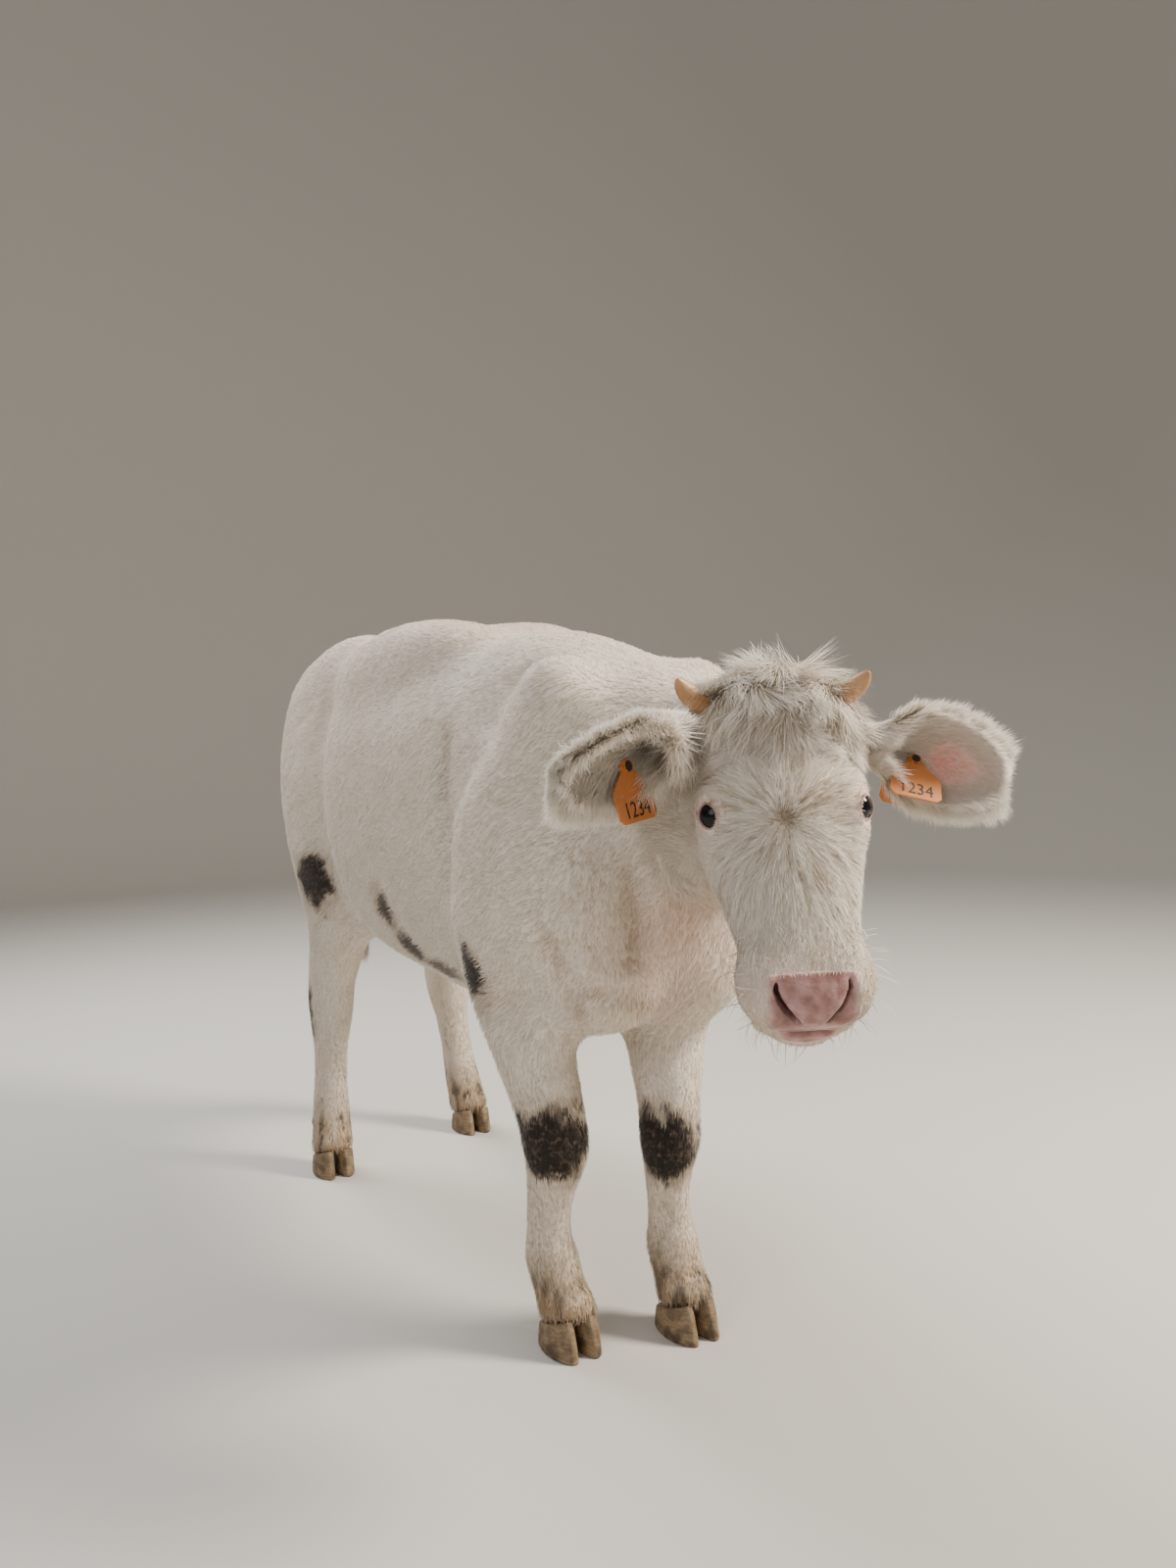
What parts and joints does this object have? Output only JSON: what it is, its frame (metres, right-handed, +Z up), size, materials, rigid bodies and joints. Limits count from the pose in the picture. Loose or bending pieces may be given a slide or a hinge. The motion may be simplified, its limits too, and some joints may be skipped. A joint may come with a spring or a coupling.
{
  "type": "belgian blue cattle",
  "caption": "Life-size still model of a young white horned beef calf, standing on all feet, head lowered and turned to its right, a tag in each ear.",
  "frame": {"origin": "on the floor, under the middle of the whole calf's box", "axes": "+Z up, the calf's muzzle towards -Y and its tail towards +Y, the calf's own left side towards +X"},
  "size_m": [0.5588, 1.5797, 1.0567],
  "materials": {
    "coat": "short fluffy cream-white coat",
    "horn": "tan horn, satin",
    "hoof": "brown stained horn, matt",
    "eye": "wet dark blue-black",
    "tag": "orange-yellow soft plastic"
  },
  "bodies": {
    "root": {"head": "coat", "neck": "coat", "torso": "coat", "tail": "coat", "leg_front_left": "coat", "leg_front_right": "coat", "leg_hind_left": "coat", "leg_hind_right": "coat", "ear_left": "coat", "ear_right": "coat", "horn_left": "horn", "horn_right": "horn", "eye_left": "eye", "eye_right": "eye", "claw_front_left_inner": "hoof", "claw_front_left_outer": "hoof", "claw_front_right_inner": "hoof", "claw_front_right_outer": "hoof", "claw_hind_left_inner": "hoof", "claw_hind_left_outer": "hoof", "claw_hind_right_inner": "hoof", "claw_hind_right_outer": "hoof", "tag_left_front": "tag", "tag_left_back": "tag", "tag_right_front": "tag", "tag_right_back": "tag"}
  },
  "joints": []
}
